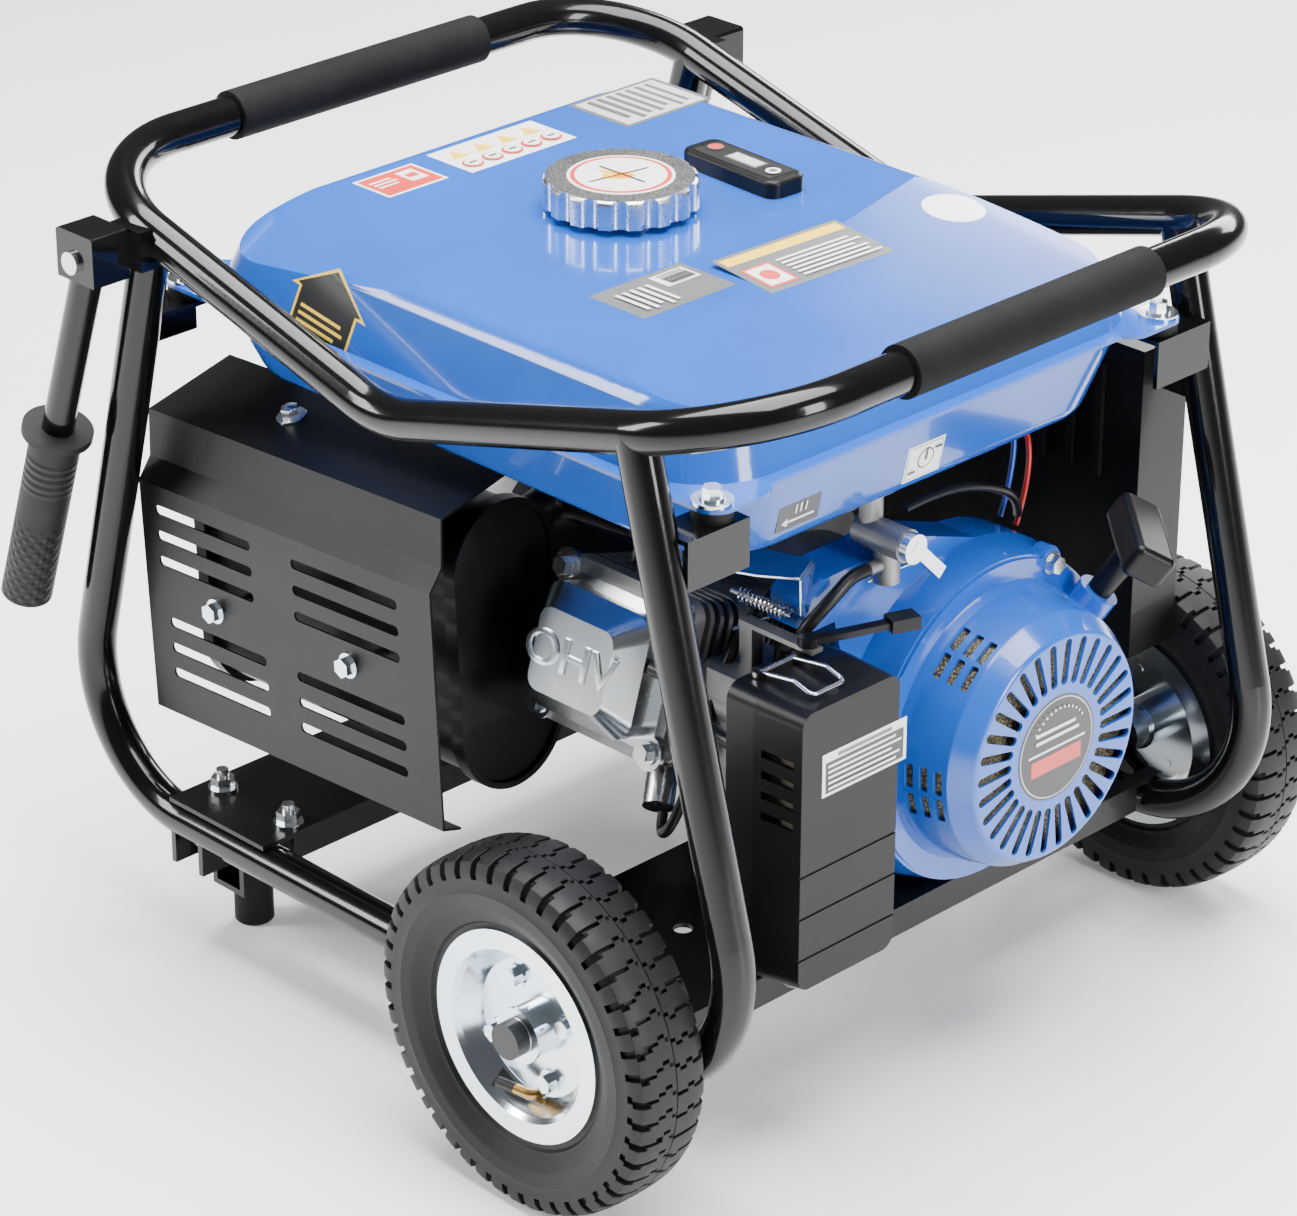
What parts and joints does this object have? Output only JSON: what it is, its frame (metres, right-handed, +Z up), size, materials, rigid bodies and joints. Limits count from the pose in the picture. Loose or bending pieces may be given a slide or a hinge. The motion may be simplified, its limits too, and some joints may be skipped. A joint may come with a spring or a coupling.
{
  "type": "portable generator",
  "caption": "Open tubular frame generator with blue fuel tank, recoil-start engine, alternator, silencer guard, two wheels and fold-down handles.",
  "frame": {"origin": "on the ground under the middle of the tubular frame", "axes": "+X towards the recoil starter and the wheel end, +Z up, -Y the cylinder head side"},
  "size_m": [0.6161, 0.5916, 0.5105],
  "materials": {
    "frame_paint": "gloss black powder coat",
    "plate_paint": "satin black powder coat",
    "foam": "closed-cell foam sleeve",
    "rubber": "moulded black rubber",
    "grip_rubber": "knurled handle grip",
    "tyre": "lugged black tyre",
    "zinc": "bright zinc plate",
    "tank_blue": "gloss blue enamel",
    "cover_blue": "gloss blue enamel",
    "cap_metal": "satin cast metal",
    "black_plastic": "moulded black plastic",
    "cast_alloy": "as-cast grey alloy",
    "heat_black": "matt heat-proof black",
    "steel": "machined steel",
    "fan_khaki": "dark khaki fan",
    "stator_steel": "black lacquered laminations",
    "filter_foam": "oiled filter foam",
    "hose": "smooth black hose",
    "panel": "black pressed panel",
    "socket_plastic": "moulded socket plastic",
    "switch_red": "red switch plastic"
  },
  "bodies": {
    "chassis": {"top_ring": "frame_paint", "side_frame_near": "frame_paint", "side_frame_far": "frame_paint", "foam_grips": "foam", "cross_plates": "plate_paint", "frame_brackets": "frame_paint", "rubber_feet": "rubber", "pivot_pins": "zinc", "tank_upper_shell": "tank_blue", "tank_lower_shell": "tank_blue", "fuel_gauge": "black_plastic", "petcock_body": "cast_alloy", "engine_block": "cast_alloy", "cylinder_head": "cast_alloy", "spark_plug": "zinc", "valve_cover": "zinc", "engine_bolts": "zinc", "blower_housing": "cover_blue", "starter_cover": "cover_blue", "carburettor": "cast_alloy", "air_cleaner_case": "black_plastic", "air_cleaner_cover": "black_plastic", "air_filter": "filter_foam", "muffler": "heat_black", "exhaust_pipe": "heat_black", "heat_shield": "heat_black", "alternator_bell": "cast_alloy", "stator": "stator_steel", "alternator_bracket": "cast_alloy", "alternator_cover": "black_plastic", "rubber_mounts": "rubber", "frame_bolts": "zinc", "control_box": "panel", "control_face": "panel", "sockets": "socket_plastic", "fuel_hose": "hose", "breather_hose": "hose"},
    "wheel_near": {"tyre_near": "tyre", "rim_near": "zinc"},
    "wheel_far": {"tyre_far": "tyre", "rim_far": "zinc"},
    "handle_near": {"handle_tube_near": "frame_paint", "handle_grip_near": "grip_rubber"},
    "handle_far": {"handle_tube_far": "frame_paint", "handle_grip_far": "grip_rubber"},
    "fuel_cap": {"tank_cap": "cap_metal"},
    "fuel_tap": {"petcock_lever": "zinc"},
    "dipstick": {"oil_cap": "black_plastic"},
    "choke": {"choke_lever": "black_plastic"},
    "clip_upper": {"clip_top": "zinc"},
    "clip_lower": {"clip_bottom": "zinc"},
    "pulley": {"starter_pulley": "black_plastic"},
    "pull_grip": {"starter_grip": "black_plastic"},
    "crank_train": {"crankshaft": "steel", "flywheel": "fan_khaki", "alternator_rotor": "steel"},
    "breaker": {"breaker_button": "black_plastic"},
    "run_switch": {"engine_switch": "switch_red"},
    "flap_left": {"socket_flap_left": "socket_plastic"},
    "flap_right": {"socket_flap_right": "socket_plastic"}
  },
  "joints": [
    {"name": "wheel_near_spin", "type": "hinge", "parent": "chassis", "child": "wheel_near", "pos_m": [0.169, -0.268, 0.11], "axis": [0, 1, 0], "continuous": true},
    {"name": "wheel_far_spin", "type": "hinge", "parent": "chassis", "child": "wheel_far", "pos_m": [0.169, 0.268, 0.11], "axis": [0, 1, 0], "continuous": true},
    {"name": "handle_near_lift", "type": "hinge", "parent": "chassis", "child": "handle_near", "pos_m": [-0.222, -0.258, 0.462], "axis": [0, 1, 0], "range_deg": [0, 71]},
    {"name": "handle_far_lift", "type": "hinge", "parent": "chassis", "child": "handle_far", "pos_m": [-0.222, 0.258, 0.462], "axis": [0, 1, 0], "range_deg": [0, 71]},
    {"name": "fuel_cap_lift", "type": "slide", "parent": "chassis", "child": "fuel_cap", "axis": [0, 0, 1], "range_m": [0, 0.06]},
    {"name": "fuel_tap_turn", "type": "hinge", "parent": "chassis", "child": "fuel_tap", "pos_m": [0.224, -0.03, 0.349], "axis": [1, 0, 0], "range_deg": [-90, 0]},
    {"name": "dipstick_pull", "type": "slide", "parent": "chassis", "child": "dipstick", "axis": [0, 0.8, 0.6], "range_m": [0, 0.06]},
    {"name": "choke_swing", "type": "hinge", "parent": "chassis", "child": "choke", "pos_m": [0.212, -0.099, 0.306], "axis": [0, 0, 1], "range_deg": [-50, 0]},
    {"name": "clip_upper_swing", "type": "hinge", "parent": "chassis", "child": "clip_upper", "pos_m": [0.212, -0.124, 0.3024], "axis": [0, -1, 0], "range_deg": [0, 95]},
    {"name": "clip_lower_swing", "type": "hinge", "parent": "chassis", "child": "clip_lower", "pos_m": [0.212, -0.124, 0.1146], "axis": [0, 1, 0], "range_deg": [0, 45]},
    {"name": "starter_pull", "type": "slide", "parent": "chassis", "child": "pull_grip", "axis": [0.4504, 0.3003, 0.8408], "range_m": [0, 0.45], "stiffness_N_per_m": 12, "springref_m": -0.4},
    {"name": "pulley_turn", "type": "hinge", "parent": "chassis", "child": "pulley", "pos_m": [0.26, 0.05, 0.209], "axis": [1, 0, 0], "range_deg": [0, 650]},
    {"name": "crank_spin", "type": "hinge", "parent": "chassis", "child": "crank_train", "pos_m": [0, 0.05, 0.209], "axis": [1, 0, 0], "continuous": true},
    {"name": "breaker_pop", "type": "slide", "parent": "chassis", "child": "breaker", "axis": [0, 1, 0], "range_m": [0, 0.003]},
    {"name": "run_switch_rock", "type": "hinge", "parent": "chassis", "child": "run_switch", "pos_m": [-0.12, 0.24, 0.265], "axis": [0, 0, 1], "range_deg": [-10, 10]},
    {"name": "flap_left_lift", "type": "hinge", "parent": "chassis", "child": "flap_left", "pos_m": [0.02, 0.2469, 0.291], "axis": [1, 0, 0], "range_deg": [0, 100], "stiffness_Nm_per_rad": 0.02, "springref_deg": -28.65},
    {"name": "flap_right_lift", "type": "hinge", "parent": "chassis", "child": "flap_right", "pos_m": [0.09, 0.2469, 0.291], "axis": [1, 0, 0], "range_deg": [0, 100], "stiffness_Nm_per_rad": 0.02, "springref_deg": -28.65}
  ],
  "couplings": [
    {"joint": "pulley_turn", "follows": "starter_pull", "rad_per_m": 24.691}
  ]
}
